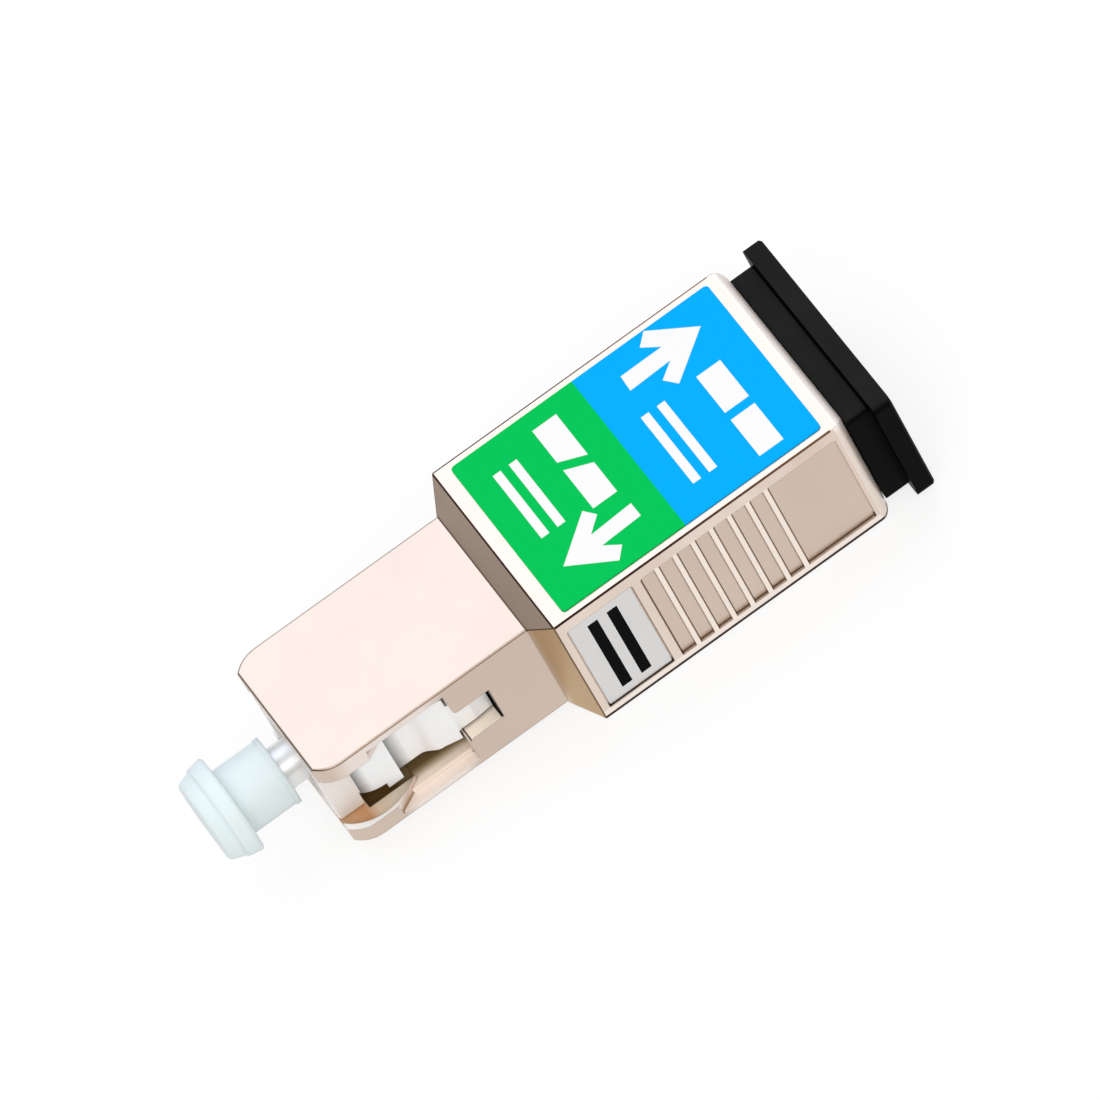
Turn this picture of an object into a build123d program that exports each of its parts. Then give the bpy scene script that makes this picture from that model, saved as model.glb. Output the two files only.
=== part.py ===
from build123d import *
import math
import os

os.makedirs("parts", exist_ok=True)

# A push-pull plug at one end and a socket for the same plug at the other, in one metal shell.
# X runs along the optical axis towards the socket, Z is up and the body rests on z = 0.

# Plug section of the shell
plug_width = 8.99
plug_height = 7.39
plug_length = 12.95
plug_corner_length = 1.5
plug_corner_width = 0.72
plug_edge_radius = 0.16
plug_wall = 1.045
plate_thickness = 0.845
window_length = 7.6
window_corner_radius = 0.3
slot_length = 2.15
slot_height = 2.7
rail_ledge = 0.37
rail_edge_thickness = 0.5
pocket_start = 1.6
pocket_length = 2.76
pocket_margin = 0.25
pocket_depth = 0.45
cam_length = 2.76
cam_slope_length = 1.66
cam_slope_width = 0.995
cam_tip_radius = 0.25
rim_height = 0.4
rim_width = 0.29
rim_front_width = 0.5
rim_end_width = 0.15
key_width = 2.0
key_height = 0.55
key_start = 4.6
key_nose_chamfer = 0.35

# Neck and body of the shell
neck_length = 1.07
body_length = 18.05
side_wall = 1.6
top_wall = 1.0
base_wall = 0.85
body_corner_radius = 0.75
body_end_radius = 0.6
shoulder_setback = 0.28

# Recesses in the two side faces
sticker_recess_length = 4.05
sticker_recess_setback = 0.45
recess_bridge = 0.52
recess_rear_band = 0.88
recess_top_band = 0.935
recess_base_band = 0.615
recess_depth = 0.18
recess_corner_radius = 0.12
rib_count = 7
rib_width = 0.29
rib_pitch = 1.13
first_panel_length = 0.86

# Socket
socket_play = 0.005
socket_corner_radius = 0.4
socket_mouth_chamfer = 0.18
keyway_play = 0.1
keyway_length = 5.6
mating_depth = 13.9
relief_depth = 0.35
relief_margin = 0.45

# Fits
slide_clearance = 0.1
stop_gap = 0.1
core_travel = 1.8
key_clearance = 0.05
bore_clearance = 0.0105
holder_clearance = 0.03
sleeve_clearance = 0.05
seat_gap = 0.05

# Plug frame
nose_length = 1.55
nose_chamfer = 0.12
nose_inset = 0.5
waist_wall = 0.35
waist_end = 7.8
latch_start = 1.45
latch_foot_drop = 0.75
knee_position = 1.95
knee_drop = 0.07
crest_position = 3.88
crest_rise = 0.15
groove_drop = 0.4
groove_length = 1.3
rise_length = 1.3
arm_rise = 0.13
arm_gap = 0.12
tab_rise = 0.35
tab_bend_length = 1.12
tab_dip = 0.1
ramp_height = 3.1
crest_height = 4.0
crest_length = 0.92
arm_height = 3.9
mouth_clearance = 0.15
mouth_chamfer = 0.2
throat_diameter = 3.3
throat_length = 0.6
frame_bore = 4.2
collar_length = 0.8

# Ferrule and its flange
ferrule_diameter = 2.499
ferrule_reach = 1.95
tip_cone_length = 0.45
tip_cone_inset = 0.4
tip_angle = 8
end_chamfer = 0.3
flange_clearance = 0.07
flange_length = 1.35
flange_cone = 0.35
barrel_clearance = 0.12
barrel_length = 2.9

# Spring behind the flange
spring_wire = 0.36
spring_clearance = 0.1
spring_turns = 4
spring_length = 5.07

# Sleeve, its holder and the washer in front of it
sleeve_length = 11.4
sleeve_diameter = 3.2
sleeve_slit = 0.35
washer_thickness = 0.35
washer_bore = 2.8
holder_wall = 0.5
holder_flange_diameter = 6.0
holder_flange_thickness = 0.8
holder_lip_length = 0.4
holder_lip_bore = 2.8
holder_lip_chamfer = 0.25

# Latch carrier in the socket
carrier_thickness = 1.6
carrier_corner_radius = 0.35
hook_width = 3.0
hook_thickness = 0.55
hook_inset = 0.25
hook_length = 6.0
hook_lug_height = 0.38
hook_lug_length = 0.3
hook_lead_length = 0.75
hook_root_radius = 0.5

# Dust plug
cover_overhang = 0.4
cover_inset = 0.27
cover_thickness = 1.1
cover_corner_radius = 0.5
cover_edge_chamfer = 0.12
block_side_inset = 0.35
block_inset = 0.725
block_length = 1.4
block_edge_radius = 0.35
stem_clearance = 0.07
stem_end_gap = 2.32
stem_wall = 0.85
stem_lead = 0.4
dust_hollow_end = 0.6

# Ferrule cap
cap_front_diameter = 4.7
cap_step_diameter = 5.2
cap_shoulder_diameter = 5.68
cap_head_length = 1.8
cap_step_position = 0.85
cap_step_rise = 0.09
cap_edge_chamfer = 0.13
cap_wall = 0.635
cap_stem_length = 2.9
cap_lip_length = 0.28
cap_lip_rise = 0.07
cap_bore_gap = 0.04
cap_face_thickness = 0.85
cap_gap = 1.04

# Labels
label_setback = 0.86
label_rear_margin = 1.09
label_side_margin = 0.45
label_corner_radius = 0.25
label_thickness = 0.08
sticker_margin = 0.08

overrun = 1.0

# Widths and heights across the axis
socket_width = plug_width + 2 * socket_play
socket_height = plug_height + 2 * socket_play
body_width = socket_width + 2 * side_wall
body_top = socket_height / 2 + top_wall
body_base = socket_height / 2 + base_wall
body_height = body_top + body_base
body_middle = (body_top - body_base) / 2
channel_width = plug_width - 2 * plug_wall
channel_height = plug_height - 2 * plate_thickness
frame_width = channel_width - 2 * slide_clearance
frame_height = channel_height - 2 * slide_clearance
recess_height = body_height - recess_top_band - recess_base_band
recess_middle = body_middle - (recess_top_band - recess_base_band) / 2
holder_bore = sleeve_diameter + 2 * sleeve_clearance
holder_nose_diameter = holder_bore + 2 * holder_wall
mouth_diameter = holder_nose_diameter + 2 * mouth_clearance
spring_diameter = frame_bore - 2 * spring_clearance
cap_bore = ferrule_diameter + 2 * cap_bore_gap
cap_stem_diameter = cap_bore + 2 * cap_wall

# Stations along the axis, counted from the front of the plug section
neck_end = plug_length + neck_length
rear = neck_end + body_length
mating_plane = rear - mating_depth
shoulder = neck_end + shoulder_setback
slot_end = window_length + slot_length
cam_end = cam_length + cam_slope_length
ledge_y = channel_width / 2 + rail_ledge
ledge_start = cam_length + cam_slope_length * (plug_width / 2 - ledge_y) / cam_slope_width
collar_front = shoulder + core_travel + stop_gap
frame_rear = collar_front + collar_length
sleeve_front = mating_plane - sleeve_length / 2
sleeve_rear = mating_plane + sleeve_length / 2
holder_front = sleeve_front - sleeve_clearance
holder_rear = sleeve_rear + sleeve_clearance + holder_lip_length
washer_front = holder_front - washer_thickness
spring_front = washer_front - spring_length
flange_front = spring_front - flange_length
mouth_depth = flange_front - seat_gap - throat_length
carrier_rear = frame_rear + carrier_thickness
hook_end = carrier_rear + hook_length
sticker_start = neck_end + sticker_recess_setback
grip_start = sticker_start + sticker_recess_length + recess_bridge
cap_front = -cap_gap - cap_stem_length - cap_head_length
cover_front = rear + seat_gap + block_length
cover_rear = cover_front + cover_thickness

# The part's frame: the middle of its length over the origin, the axis body_base above the floor
front_x = -(cap_front + cover_rear) / 2
axis_height = body_base


def station(x):
    """Plane across the optical axis, x behind the front of the plug section."""
    return Plane(origin=(front_x + x, 0, axis_height), x_dir=(0, 1, 0), z_dir=(1, 0, 0))


def plan(z):
    """Plane seen from above, z over the optical axis, with X counted from the plug's front."""
    return Plane(origin=(front_x, 0, axis_height + z), x_dir=(1, 0, 0), z_dir=(0, 0, 1))


def flank(y):
    """Plane seen from the near side, at y, with X counted from the plug's front."""
    return Plane(origin=(front_x, y, axis_height), x_dir=(1, 0, 0), z_dir=(0, -1, 0))


def half_profile():
    """Plane for a profile turned about the optical axis."""
    return Plane(origin=(front_x, 0, axis_height), x_dir=(1, 0, 0), z_dir=(0, -1, 0))


optical_axis = Axis((front_x, 0, axis_height), (1, 0, 0))

# Body block of the shell: rounded corners in plan and in side view
with BuildPart() as body_block:
    with BuildSketch(plan(-body_base)) as body_plan:
        with Locations((neck_end + body_length / 2, 0)):
            Rectangle(body_length, body_width)
        fillet(body_plan.vertices().group_by(Axis.X)[-1], body_corner_radius)
    extrude(amount=body_height)
    with BuildSketch(flank(body_width / 2)) as body_side:
        with Locations((neck_end + body_length / 2, body_middle)):
            Rectangle(body_length, body_height)
        fillet(body_side.vertices().group_by(Axis.X)[-1], body_end_radius)
    extrude(amount=body_width, mode=Mode.INTERSECT)

# Outer shell: plug section, neck, body, windows with release cams, socket and side recesses
with BuildPart() as outer_shell:
    with BuildSketch(plan(-plug_height / 2)):
        with BuildLine():
            Line((0, 0), (0, plug_width / 2 - plug_corner_width))
            TangentArc(
                (plug_corner_length, plug_width / 2),
                (0, plug_width / 2 - plug_corner_width),
                tangent=(-1, 0),
            )
            Polyline(
                (plug_corner_length, plug_width / 2),
                (plug_length, plug_width / 2),
                (plug_length, 0),
                (0, 0),
            )
        make_face()
        mirror(about=Plane.XZ)
    extrude(amount=plug_height)
    plug_edges = outer_shell.edges().group_by(Axis.Z)
    fillet(plug_edges[-1].sort_by(Axis.X)[:-1], plug_edge_radius)
    plug_edges = outer_shell.edges().group_by(Axis.Z)
    fillet(plug_edges[0].sort_by(Axis.X)[:-1], plug_edge_radius)
    # Neck
    with BuildSketch(station(plug_length)):
        Rectangle(plug_width, plug_height)
    with BuildSketch(station(neck_end)):
        with Locations((0, body_middle)):
            Rectangle(body_width, body_height)
    loft()
    add(body_block.part)
    # Key under the plug section
    with BuildSketch(flank(key_width / 2)) as key_side:
        with BuildLine():
            Polyline(
                (key_start, -plug_height / 2 + key_height),
                (key_start, -plug_height / 2),
                (key_start + key_nose_chamfer, -plug_height / 2 - key_height),
                (neck_end + shoulder_setback, -plug_height / 2 - key_height),
                (neck_end + shoulder_setback, -plug_height / 2 + key_height),
                close=True,
            )
        make_face()
    extrude(amount=key_width)
    # Channel for the plug frame
    with BuildSketch(station(-overrun)):
        Rectangle(channel_width, channel_height)
    extrude(amount=shoulder + 2 * overrun, mode=Mode.SUBTRACT)
    # Side windows, open at the front, each with a slot behind it
    with BuildSketch(flank(plug_width / 2 + overrun)) as window_side:
        with Locations(((window_length - overrun) / 2, 0)):
            Rectangle(window_length + overrun, channel_height)
        with Locations(((window_length + slot_end) / 2, 0)):
            Rectangle(slot_length, slot_height)
        slot_corners = window_side.vertices().filter_by(
            lambda v: abs(v.X - window_length) < plug_edge_radius and abs(v.Y) < slot_height
        )
        fillet(slot_corners, window_corner_radius)
    extrude(amount=plug_width + 2 * overrun, mode=Mode.SUBTRACT)
    # In each plate a shallow pocket, a rim that runs round the front corner and along the release cam,
    # and the rail thinned behind the cam
    for over in (1, -1):
        with BuildSketch(plan(over * channel_height / 2)):
            with Locations((pocket_start + pocket_length / 2, 0)):
                Rectangle(pocket_length, channel_width - 2 * pocket_margin)
        extrude(amount=over * pocket_depth, mode=Mode.SUBTRACT)
        with BuildSketch(plan(over * channel_height / 2)):
            with BuildLine():
                TangentArc(
                    (plug_corner_length, plug_width / 2),
                    (0, plug_width / 2 - plug_corner_width),
                    tangent=(-1, 0),
                )
                Line(
                    (0, plug_width / 2 - plug_corner_width),
                    (0, plug_width / 2 - plug_corner_width - rim_front_width),
                )
                Spline(
                    (0, plug_width / 2 - plug_corner_width - rim_front_width),
                    (plug_corner_length, plug_width / 2 - rim_width),
                    (cam_length, plug_width / 2 - rim_width),
                    (cam_end - rim_end_width, plug_width / 2 - cam_slope_width),
                )
                Polyline(
                    (cam_end - rim_end_width, plug_width / 2 - cam_slope_width),
                    (cam_end, plug_width / 2 - cam_slope_width),
                    (cam_length, plug_width / 2),
                    (plug_corner_length, plug_width / 2),
                )
            make_face()
            mirror(about=Plane.XZ)
        extrude(amount=-over * rim_height)
        with BuildSketch(plan(over * (channel_height / 2 - rim_height))):
            with BuildLine():
                FilletPolyline(
                    (cam_length, plug_width / 2 + overrun),
                    (cam_length, plug_width / 2),
                    (ledge_start, ledge_y),
                    (window_length, ledge_y),
                    (window_length, plug_width / 2 + overrun),
                    radius=cam_tip_radius,
                    close=True,
                )
            make_face()
            mirror(about=Plane.XZ)
        extrude(
            amount=over * (rim_height + plate_thickness - rail_edge_thickness),
            mode=Mode.SUBTRACT,
        )
    # Socket with its keyway and the reliefs beside the latch hooks
    with BuildSketch(station(shoulder)):
        RectangleRounded(socket_width, socket_height, socket_corner_radius)
    extrude(amount=rear - shoulder + overrun, mode=Mode.SUBTRACT)
    mouth_edges = outer_shell.faces().sort_by(Axis.X)[-1].inner_wires()[0].edges()
    chamfer(mouth_edges, socket_mouth_chamfer)
    with BuildSketch(station(rear - keyway_length)):
        with Locations((0, -socket_height / 2)):
            Rectangle(key_width + 2 * keyway_play, 2 * (key_height + key_clearance))
    extrude(amount=keyway_length + overrun, mode=Mode.SUBTRACT)
    with BuildSketch(flank(0)):
        with Locations(((carrier_rear + hook_end + overrun) / 2, 0)):
            Rectangle(hook_end - carrier_rear + overrun, hook_width + 2 * relief_margin)
    extrude(amount=socket_width / 2 + relief_depth, both=True, mode=Mode.SUBTRACT)
    # Side recesses: a smooth one for the sticker and a ribbed grip
    for side in (1, -1):
        with BuildSketch(flank(side * body_width / 2)) as recess_side:
            with Locations((sticker_start + sticker_recess_length / 2, recess_middle)):
                Rectangle(sticker_recess_length, recess_height)
            grip_end = rear - recess_rear_band
            with Locations(((grip_start + grip_end) / 2, recess_middle)):
                Rectangle(grip_end - grip_start, recess_height)
            fillet(recess_side.vertices(), recess_corner_radius)
            first_rib = grip_start + first_panel_length + rib_width / 2
            with Locations((first_rib + rib_pitch * (rib_count - 1) / 2, recess_middle)):
                with GridLocations(rib_pitch, 0, rib_count, 1):
                    Rectangle(rib_width, recess_height, mode=Mode.SUBTRACT)
        extrude(amount=side * recess_depth, mode=Mode.SUBTRACT)
outer_shell.part.label = "outer_shell"
export_step(outer_shell.part, "parts/outer_shell.step")

# Latch arms of the plug frame: ramp, crest, groove, rise and wedge tab, trimmed in side view
tab_end = slot_end - stop_gap
arm_end = window_length - arm_gap
tab_bend = arm_end + tab_bend_length
groove_end = crest_position + groove_length
rise_end = groove_end + rise_length
foot_y = frame_width / 2 - latch_foot_drop
knee_y = frame_width / 2 - knee_drop
crest_y = frame_width / 2 + crest_rise
groove_y = frame_width / 2 - groove_drop
arm_y = frame_width / 2 + arm_rise
tab_y = frame_width / 2 + tab_rise
with BuildPart() as latch_arms:
    with BuildSketch(plan(-crest_height / 2)) as arm_plan:
        with BuildLine():
            Line((latch_start, 0), (latch_start, foot_y))
            Spline(
                (latch_start, foot_y),
                (knee_position, knee_y),
                (crest_position, crest_y),
                tangents=((0, 1), (1, 0)),
            )
            Polyline(
                (crest_position, crest_y),
                (crest_position, groove_y),
                (groove_end, groove_y),
            )
            Spline(
                (groove_end, groove_y),
                (rise_end, arm_y),
                tangents=((1, 0), (1, 0)),
            )
            Polyline(
                (rise_end, arm_y),
                (arm_end, tab_y),
                (tab_bend, tab_y),
                (tab_end, tab_y - tab_dip),
                (tab_end, 0),
                (latch_start, 0),
            )
        make_face()
        mirror(about=Plane.XZ)
    extrude(amount=crest_height)
    with BuildSketch(flank(channel_width)) as arm_side:
        with BuildLine():
            Polyline(
                (latch_start, 0),
                (latch_start, ramp_height / 2),
                (crest_position - crest_length, ramp_height / 2),
                (crest_position - crest_length, crest_height / 2),
                (crest_position, crest_height / 2),
                (crest_position, arm_height / 2),
                (arm_end, arm_height / 2),
                (arm_end, slot_height / 2 - slide_clearance),
                (tab_end, slot_height / 2 - slide_clearance),
                (tab_end, 0),
                close=True,
            )
        make_face()
        mirror(about=Plane.XZ)
    extrude(amount=2 * channel_width, mode=Mode.INTERSECT)

# Plug frame
with BuildPart() as plug_frame:
    with BuildSketch(station(0)):
        Rectangle(frame_width - 2 * nose_inset, frame_height)
    extrude(amount=nose_length)
    chamfer(plug_frame.faces().sort_by(Axis.X)[0].edges(), nose_chamfer)
    with BuildSketch(station(nose_length)):
        Circle(mouth_diameter / 2 + waist_wall)
    extrude(amount=waist_end - nose_length)
    with BuildSketch(station(waist_end)):
        Rectangle(frame_width, frame_height)
    extrude(amount=collar_front - waist_end)
    with BuildSketch(station(collar_front)):
        RectangleRounded(
            socket_width - 2 * slide_clearance,
            socket_height - 2 * slide_clearance,
            carrier_corner_radius,
        )
    extrude(amount=collar_length)
    add(latch_arms.part)
    # Mouth round the ferrule, throat that stops its flange, and the bore behind
    with BuildSketch(half_profile()):
        with BuildLine():
            Polyline(
                (-overrun, 0),
                (-overrun, mouth_diameter / 2 + mouth_chamfer + overrun),
                (mouth_chamfer, mouth_diameter / 2),
                (mouth_depth, mouth_diameter / 2),
                (mouth_depth, throat_diameter / 2),
                (mouth_depth + throat_length, throat_diameter / 2),
                (mouth_depth + throat_length, frame_bore / 2),
                (frame_rear + overrun, frame_bore / 2),
                (frame_rear + overrun, 0),
                close=True,
            )
        make_face()
    revolve(axis=optical_axis, mode=Mode.SUBTRACT)
plug_frame.part.label = "plug_frame"
export_step(plug_frame.part, "parts/plug_frame.step")

# Ferrule: angled end in the plug, flat chamfered end at the mating plane of the socket
with BuildPart() as ferrule:
    with BuildSketch(half_profile()):
        with BuildLine():
            Polyline(
                (-ferrule_reach, 0),
                (-ferrule_reach, ferrule_diameter / 2 - tip_cone_inset),
                (-ferrule_reach + tip_cone_length, ferrule_diameter / 2),
                (mating_plane - end_chamfer, ferrule_diameter / 2),
                (mating_plane, ferrule_diameter / 2 - end_chamfer),
                (mating_plane, 0),
                close=True,
            )
        make_face()
    revolve(axis=optical_axis)
    tip_plane = Plane(
        origin=(front_x - ferrule_reach, 0, axis_height - ferrule_diameter / 2 + tip_cone_inset),
        x_dir=(0, 1, 0),
        z_dir=(-math.cos(math.radians(tip_angle)), 0, math.sin(math.radians(tip_angle))),
    )
    split(bisect_by=tip_plane, keep=Keep.BOTTOM)
ferrule.part.label = "ferrule"
export_step(ferrule.part, "parts/ferrule.step")

# Metal flange and barrel pressed on the ferrule
flange_diameter = frame_bore - 2 * flange_clearance
barrel_diameter = spring_diameter - 2 * spring_wire - 2 * barrel_clearance
with BuildPart() as ferrule_flange:
    with BuildSketch(half_profile()):
        with BuildLine():
            Polyline(
                (flange_front, ferrule_diameter / 2),
                (flange_front, flange_diameter / 2 - flange_cone),
                (flange_front + flange_cone, flange_diameter / 2),
                (spring_front, flange_diameter / 2),
                (spring_front, barrel_diameter / 2),
                (spring_front + barrel_length, barrel_diameter / 2),
                (spring_front + barrel_length, ferrule_diameter / 2),
                close=True,
            )
        make_face()
    revolve(axis=optical_axis)
ferrule_flange.part.label = "ferrule_flange"
export_step(ferrule_flange.part, "parts/ferrule_flange.step")

# Spring that presses the flange forward
coil_radius = (spring_diameter - spring_wire) / 2
coil_height = washer_front - spring_front - spring_wire - 2 * seat_gap
coil_start = spring_front + seat_gap + spring_wire / 2
with BuildPart() as ferrule_spring:
    with BuildLine():
        coil = Helix(
            pitch=coil_height / spring_turns,
            height=coil_height,
            radius=coil_radius,
            center=(front_x + coil_start, 0, axis_height),
            direction=(1, 0, 0),
        )
    with BuildSketch(Plane(origin=coil @ 0, z_dir=coil % 0)):
        RegularPolygon(spring_wire / 2, 5)
    sweep(path=coil, is_frenet=True)
ferrule_spring.part.label = "ferrule_spring"
export_step(ferrule_spring.part, "parts/ferrule_spring.step")

# Washer between the spring and the sleeve holder
with BuildPart() as spring_seat:
    with BuildSketch(station(washer_front)):
        Circle(frame_bore / 2 - holder_clearance)
        Circle(washer_bore / 2, mode=Mode.SUBTRACT)
    extrude(amount=washer_thickness)
spring_seat.part.label = "spring_seat"
export_step(spring_seat.part, "parts/spring_seat.step")

# Holder of the split sleeve, clamped between the frame and the latch carrier
with BuildPart() as sleeve_holder:
    with BuildSketch(half_profile()):
        with BuildLine():
            Polyline(
                (holder_front, holder_bore / 2),
                (holder_front, frame_bore / 2 - holder_clearance),
                (frame_rear, frame_bore / 2 - holder_clearance),
                (frame_rear, holder_flange_diameter / 2),
                (frame_rear + holder_flange_thickness, holder_flange_diameter / 2),
                (frame_rear + holder_flange_thickness, holder_nose_diameter / 2),
                (holder_rear - holder_lip_chamfer, holder_nose_diameter / 2),
                (holder_rear, holder_nose_diameter / 2 - holder_lip_chamfer),
                (holder_rear, holder_lip_bore / 2 + holder_lip_chamfer),
                (holder_rear - holder_lip_chamfer, holder_lip_bore / 2),
                (holder_rear - holder_lip_length, holder_lip_bore / 2),
                (holder_rear - holder_lip_length, holder_bore / 2),
                close=True,
            )
        make_face()
    revolve(axis=optical_axis)
sleeve_holder.part.label = "sleeve_holder"
export_step(sleeve_holder.part, "parts/sleeve_holder.step")

# Split sleeve that lines up the two ferrules
sleeve_bore = ferrule_diameter + 2 * bore_clearance
with BuildPart() as split_sleeve:
    with BuildSketch(station(sleeve_front)):
        Circle(sleeve_diameter / 2)
        Circle(sleeve_bore / 2, mode=Mode.SUBTRACT)
        with Locations((0, sleeve_diameter / 2)):
            Rectangle(sleeve_slit, sleeve_diameter / 2, mode=Mode.SUBTRACT)
    extrude(amount=sleeve_length)
split_sleeve.part.label = "split_sleeve"
export_step(split_sleeve.part, "parts/split_sleeve.step")

# Latch carrier: base plate and two hooks that hold an inserted plug by its crests
hook_outer = socket_width / 2 - hook_inset
hook_inner = hook_outer - hook_thickness
with BuildPart() as latch_carrier:
    with BuildSketch(station(frame_rear)):
        RectangleRounded(
            socket_width - 2 * slide_clearance,
            socket_height - 2 * slide_clearance,
            carrier_corner_radius,
        )
        Circle(holder_nose_diameter / 2 + holder_clearance, mode=Mode.SUBTRACT)
    extrude(amount=carrier_thickness)
    with BuildSketch(station(frame_rear)):
        Circle(holder_flange_diameter / 2 + holder_clearance)
    extrude(amount=holder_flange_thickness + seat_gap, mode=Mode.SUBTRACT)
    with BuildSketch(plan(-hook_width / 2)) as hook_plan:
        with BuildLine():
            Polyline(
                (carrier_rear, hook_inner),
                (hook_end - hook_lead_length - hook_lug_length, hook_inner),
                (hook_end - hook_lead_length - hook_lug_length, hook_inner - hook_lug_height),
                (hook_end - hook_lead_length, hook_inner - hook_lug_height),
                (hook_end, hook_inner + hook_thickness / 3),
                (hook_end, hook_outer),
                (carrier_rear, hook_outer),
                close=True,
            )
        make_face()
        mirror(about=Plane.XZ)
    extrude(amount=hook_width)
    root_edges = (
        latch_carrier.edges()
        .filter_by(Axis.Z)
        .filter_by(lambda e: abs(e.center().X - front_x - carrier_rear) < seat_gap)
        .filter_by(lambda e: abs(abs(e.center().Y) - hook_inner) < seat_gap)
    )
    fillet(root_edges, hook_root_radius)
latch_carrier.part.label = "latch_carrier"
export_step(latch_carrier.part, "parts/latch_carrier.step")

# Dust plug: cover, block against the rear face and a hollow stem in the socket
with BuildPart() as dust_plug:
    with BuildSketch(station(cover_front)):
        with Locations((0, body_middle)):
            RectangleRounded(
                body_width + 2 * cover_overhang,
                body_height - 2 * cover_inset,
                cover_corner_radius,
            )
    extrude(amount=cover_thickness)
    chamfer(dust_plug.faces().sort_by(Axis.X)[-1].edges(), cover_edge_chamfer)
    with BuildSketch(station(rear + seat_gap)):
        RectangleRounded(
            body_width - 2 * block_side_inset,
            body_height - 2 * block_inset,
            block_edge_radius,
        )
    extrude(amount=block_length)
    stem_front = hook_end + stem_end_gap
    stem_length = rear + seat_gap - stem_front
    stem_width = socket_width - 2 * stem_clearance
    stem_height = socket_height - 2 * stem_clearance
    with BuildSketch(station(stem_front)):
        RectangleRounded(stem_width, stem_height, socket_corner_radius)
    extrude(amount=stem_length)
    chamfer(dust_plug.faces().sort_by(Axis.X)[0].edges(), stem_lead)
    with BuildSketch(station(stem_front)):
        Rectangle(stem_width - 2 * stem_wall, stem_height - 2 * stem_wall)
    extrude(amount=cover_front - dust_hollow_end - stem_front, mode=Mode.SUBTRACT)
dust_plug.part.label = "dust_plug"
export_step(dust_plug.part, "parts/dust_plug.step")

# Ferrule cap, drawn forward so that only its stem's end is on the ferrule
cap_shoulder = cap_front + cap_head_length
with BuildPart() as ferrule_cap:
    with BuildSketch(half_profile()):
        with BuildLine():
            Polyline(
                (cap_front, 0),
                (cap_front, cap_front_diameter / 2 - cap_edge_chamfer),
                (cap_front + cap_edge_chamfer, cap_front_diameter / 2),
                (cap_front + cap_step_position, cap_step_diameter / 2),
                (cap_front + cap_step_position, cap_step_diameter / 2 + cap_step_rise),
                (cap_shoulder - cap_edge_chamfer, cap_shoulder_diameter / 2),
                (cap_shoulder, cap_shoulder_diameter / 2 - cap_edge_chamfer),
                (cap_shoulder, cap_stem_diameter / 2),
                (-cap_gap - cap_lip_length, cap_stem_diameter / 2),
                (-cap_gap - cap_lip_length, cap_stem_diameter / 2 + cap_lip_rise),
                (-cap_gap, cap_stem_diameter / 2 + cap_lip_rise),
                (-cap_gap, cap_bore / 2),
                (cap_front + cap_face_thickness, cap_bore / 2),
                (cap_front + cap_face_thickness, 0),
                close=True,
            )
        make_face()
    revolve(axis=optical_axis)
ferrule_cap.part.label = "ferrule_cap"
export_step(ferrule_cap.part, "parts/ferrule_cap.step")

# Printed label on the top face
label_length = body_length - label_setback - label_rear_margin
with BuildPart() as top_label:
    with BuildSketch(plan(body_top)):
        with Locations((neck_end + label_setback + label_length / 2, 0)):
            RectangleRounded(label_length, body_width - 2 * label_side_margin, label_corner_radius)
    extrude(amount=label_thickness)
top_label.part.label = "top_label"
export_step(top_label.part, "parts/top_label.step")

# Sticker on the floor of the near side recess
with BuildPart() as side_label:
    with BuildSketch(flank(-body_width / 2 + recess_depth)):
        with Locations((sticker_start + sticker_recess_length / 2, recess_middle)):
            RectangleRounded(
                sticker_recess_length - 2 * sticker_margin,
                recess_height - 2 * sticker_margin,
                recess_corner_radius,
            )
    extrude(amount=label_thickness)
side_label.part.label = "side_label"
export_step(side_label.part, "parts/side_label.step")
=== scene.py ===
import math

import bmesh
import bpy
from mathutils import Matrix, Vector


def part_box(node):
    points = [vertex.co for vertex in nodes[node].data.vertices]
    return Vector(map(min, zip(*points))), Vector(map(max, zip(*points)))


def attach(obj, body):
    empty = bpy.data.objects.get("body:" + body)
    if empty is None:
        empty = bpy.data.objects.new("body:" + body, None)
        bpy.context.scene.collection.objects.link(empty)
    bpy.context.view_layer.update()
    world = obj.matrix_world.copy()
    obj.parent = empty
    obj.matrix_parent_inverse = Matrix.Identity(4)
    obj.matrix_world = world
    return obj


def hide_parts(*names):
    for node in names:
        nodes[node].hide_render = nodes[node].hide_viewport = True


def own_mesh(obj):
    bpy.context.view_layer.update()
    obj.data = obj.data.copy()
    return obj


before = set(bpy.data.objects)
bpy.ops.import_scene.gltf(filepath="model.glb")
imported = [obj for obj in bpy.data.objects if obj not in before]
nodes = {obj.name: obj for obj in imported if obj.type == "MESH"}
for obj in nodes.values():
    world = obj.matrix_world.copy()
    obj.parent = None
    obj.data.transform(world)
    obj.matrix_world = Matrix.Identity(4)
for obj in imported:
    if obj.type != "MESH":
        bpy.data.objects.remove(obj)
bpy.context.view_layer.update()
MM = 0.001

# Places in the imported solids, in metres
shell_low, shell_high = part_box("outer_shell")
ferrule_low, ferrule_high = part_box("ferrule")
front = shell_low.x
axis_z = (ferrule_low.z + ferrule_high.z) / 2
label_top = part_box("top_label")[1].z
sticker_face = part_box("side_label")[0].y
cover_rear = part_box("dust_plug")[1].x

# The shell's reach off the optical axis and its rear, in millimetres
BODY_SIDE = (shell_high.y - shell_low.y) / 2 / MM
BODY_TOP = (shell_high.z - axis_z) / MM
BODY_BASE = (axis_z - shell_low.z) / MM
REAR = (shell_high.x - front) / MM

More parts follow.
